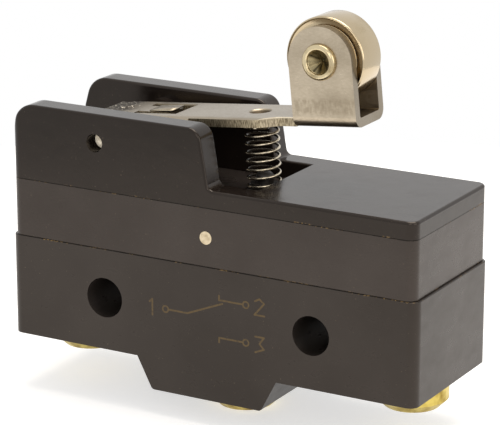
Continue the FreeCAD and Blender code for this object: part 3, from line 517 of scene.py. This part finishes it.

# %% Painted shade inside the coil
def shade_inside_coil(material, axis_x):
    """Painted shade on the side of the wire that faces the coil's own axis."""
    tree = material.node_tree
    shader = tree.nodes["Principled BSDF"]
    from_axis = add(tree, "ShaderNodeVectorMath", {0: own_place(tree), 1: (axis_x, 0, 0)},
                    operation="SUBTRACT").outputs[0]
    flat = add(tree, "ShaderNodeVectorMath", {0: from_axis, 1: (1, 1, 0)},
               operation="MULTIPLY").outputs[0]
    outwards = add(tree, "ShaderNodeVectorMath", {0: flat}, operation="NORMALIZE").outputs[0]
    facing = add(tree, "ShaderNodeVectorMath", {0: outwards,
                 1: add(tree, "ShaderNodeTexCoord").outputs["Normal"]}, operation="DOT_PRODUCT")
    # The wire's inner side is painted dark: painted shade inside the coil.
    inner_shade = band(tree, facing.outputs["Value"], -0.05, -0.45)
    clean = shader.inputs["Base Color"].links[0].from_socket
    tree.links.new(blend_colours(tree, inner_shade, clean, srgb(44, 38, 32)), shader.inputs["Base Color"])


shade_inside_coil(finishes["spring_steel"], 2.45 * MM)
print("coil shaded inside")

# %% [markdown]
# ## The coil spring
#
# A spring could be a curve with a round bevel, but the operator that fits it
# is spin: a circle of wire is swept round an axis and climbs by the same
# amount at every step. The coil sits on the plunger's collar and leans a
# little towards the roller, as in the photograph.

# %% Coil spring
WIRE = 0.14 * MM
COIL = 1.78 * MM
PITCH = 0.92 * MM
SPRING_FOOT = Vector((2.3, 0, 12.16)) * MM
SPRING_HEIGHT = 7.16 * MM
STEPS = 40


def new_piece(name, mesh, material, smooth=True):
    """Turn a bmesh into an object at the origin, with its finish."""
    bmesh.ops.recalc_face_normals(mesh, faces=mesh.faces)
    piece = bpy.data.objects.new(name, bpy.data.meshes.new(name))
    mesh.to_mesh(piece.data)
    mesh.free()
    bpy.context.scene.collection.objects.link(piece)
    piece.data.materials.append(finishes[material])
    for face in piece.data.polygons:
        face.use_smooth = smooth
    return piece


turns = SPRING_HEIGHT / PITCH
wire = bmesh.new()
ring = bmesh.ops.create_circle(wire, segments=10, radius=WIRE)
bmesh.ops.rotate(wire, matrix=Matrix.Rotation(radians(90), 3, "X"), verts=ring["verts"])
bmesh.ops.translate(wire, vec=(COIL, 0, 0), verts=ring["verts"])
steps = round(turns * STEPS)
bmesh.ops.spin(wire, geom=wire.verts[:] + wire.edges[:], cent=(0, 0, 0), axis=(0, 0, 1),
               dvec=(0, 0, SPRING_HEIGHT / steps), angle=turns * 2 * pi, steps=steps)
bmesh.ops.holes_fill(wire, edges=[e for e in wire.edges if e.is_boundary])
bmesh.ops.rotate(wire, matrix=Matrix.Rotation(radians(3.2), 3, (0, -1, 0)), verts=wire.verts)
bmesh.ops.translate(wire, vec=SPRING_FOOT, verts=wire.verts)
coil = new_piece("coil_wire", wire, "spring_steel")
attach(coil, "case")
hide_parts("return_spring")
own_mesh(coil)
print("coil of", round(turns, 2), "turns,", len(coil.data.polygons), "faces")

# %% [markdown]
# ## The roller
#
# The solid roller has the right size and bore. On the real one the side is a
# turned profile: a hub that runs beside the fork's cheek, a hollow cone round
# it and a narrow polished lip at the tread. Such a shape is one outline spun
# round an axis, which is just how the part is turned on a lathe.

# %% Roller
AXLE = Vector((10.4977, 0, 27.7148)) * MM


def lathe(outline, centre, steps=96):
    """Spin an outline, given as radius and place along Y in mm, round an axis along Y."""
    mesh = bmesh.new()
    points = [mesh.verts.new(centre + Vector((radius, along, 0)) * MM) for radius, along in outline]
    pairs = list(zip(points, points[1:]))
    if outline[0][0] > 0:
        pairs.append((points[-1], points[0]))
    edges = [mesh.edges.new(pair) for pair in pairs]
    bmesh.ops.spin(mesh, geom=points + edges, cent=centre, axis=(0, 1, 0), angle=2 * pi,
                   steps=steps, use_merge=True)
    bmesh.ops.remove_doubles(mesh, verts=mesh.verts, dist=0.0001 * MM)
    return mesh


def soften(mesh, size, sharper_than=25):
    """Round the edges whose faces meet at more than an angle."""
    sharp = [e for e in mesh.edges if e.is_manifold and e.calc_face_angle() > radians(sharper_than)]
    bmesh.ops.bevel(mesh, geom=sharp, offset=size * MM, affect="EDGES", segments=2, profile=0.5,
                    material=-1)


def both_sides(outline):
    """An outline of the +Y half, carried on to the other half."""
    return outline + [(radius, -along) for radius, along in reversed(outline)]


wheel = lathe(both_sides([(1.55, 2.0), (3.56, 2.0), (3.6, 1.78), (4.3, 1.86), (4.36, 1.98),
                          (4.43, 1.98), (4.55, 1.84)]), AXLE)
soften(wheel, 0.04)
roller = new_piece("roller_wheel", wheel, "roller_steel")
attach(roller, "roller_wheel")
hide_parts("roller")
print("roller of", len(roller.data.polygons), "faces")

# %% [markdown]
# ## The axle and the hinge pin
#
# The axle is a rivet. Its head was spread by a pointed punch, which left a deep
# cone with a sharp tip inside a round rim. The hinge pin sits deep in its
# hole, and its dished end throws the light back out of it. It is left unsmoothed,
# because smoothed normals would blend the dish into the shank.

# %% Axle
def punched_cup(material, centre, mouth):
    """Darken the cone inside a rivet's head and draw the star that the punch left in it."""
    tree = material.node_tree
    shader = tree.nodes["Principled BSDF"]
    from_axis = add(tree, "ShaderNodeVectorMath", {0: own_place(tree), 1: centre},
                    operation="SUBTRACT").outputs[0]
    flat = add(tree, "ShaderNodeVectorMath", {0: from_axis, 1: (1, 0, 1)},
               operation="MULTIPLY").outputs[0]
    radius = add(tree, "ShaderNodeVectorMath", {0: flat}, operation="LENGTH").outputs["Value"]
    spokes = add(tree, "ShaderNodeVectorMath", {0: flat}, operation="NORMALIZE").outputs[0]
    star = noise(tree, spokes, 2.6, 0.35, 0.62, 2.0)
    cup = band(tree, radius, mouth, mouth * 0.9)
    worn = blend_colours(tree, star, srgb(66, 59, 42), srgb(150, 137, 104))
    clean = shader.inputs["Base Color"].links[0].from_socket
    tree.links.new(blend_colours(tree, cup, clean, worn), shader.inputs["Base Color"])


punched_cup(finishes["rivet_steel"], AXLE, 1.3 * MM)
rivet = lathe(both_sides([(0, 2.2), (0.1, 2.2), (0.12, 2.4), (1.24, 3.42), (1.3, 3.58),
                          (1.42, 3.68), (1.66, 3.68), (1.88, 3.5), (1.97, 3.16), (1.5, 3.13)]), AXLE)
soften(rivet, 0.05)
axle = new_piece("axle_rivet", rivet, "rivet_steel")
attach(axle, "lever_arm")
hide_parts("roller_axle")

# %% Hinge pin
pin = lathe(both_sides([(0, 6.82), (0.94, 7.06), (0.97, 7.03)]), HINGE, 48)
hinge_pin = new_piece("dished_pin", pin, "pin_steel", smooth=False)
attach(hinge_pin, "case")
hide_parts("hinge_pin")
print("axle and pin turned")

# %% [markdown]
# ## The tongue's lip
#
# The tongue in the lever's window ends in a flat lip, level with the sheet. A
# short profile is drawn from the side, extruded across and given its thickness.

# %% Tongue lip
lip = bmesh.new()
side = [lip.verts.new(Vector(p) * MM) for p in (
    (2.6, -1.28, 1.94), (4.0, -1.28, 1.97), (5.0, -1.28, 2.0), (5.5, -1.28, 1.99))]
run = [lip.edges.new(pair) for pair in zip(side, side[1:])]
grown = bmesh.ops.extrude_edge_only(lip, edges=run)
bmesh.ops.translate(lip, vec=(0, 2.56 * MM, 0),
                    verts=[v for v in grown["geom"] if isinstance(v, bmesh.types.BMVert)])
bmesh.ops.solidify(lip, geom=lip.faces[:], thickness=0.14 * MM)
bmesh.ops.rotate(lip, matrix=Matrix.Rotation(LEVER_TILT, 3, (0, -1, 0)), verts=lip.verts)
bmesh.ops.translate(lip, vec=HINGE, verts=lip.verts)
tongue = new_piece("tongue_lip", lip, "lever_steel")
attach(tongue, "lever_arm")
print("lip bent")

# %% [markdown]
# ## Dressing the solids
#
# Each solid keeps its shape and takes the finish that its slot in the record
# names, so the looks and the record can't drift apart.

# %% Dress the solids
for name, node in nodes.items():
    slot = node.data.materials[0].name.split(".")[0]
    node.data.materials[0] = finishes[slot]
print("dressed", len(nodes), "solids")

# %% Finish
bpy.context.scene.view_settings.view_transform = "Standard"
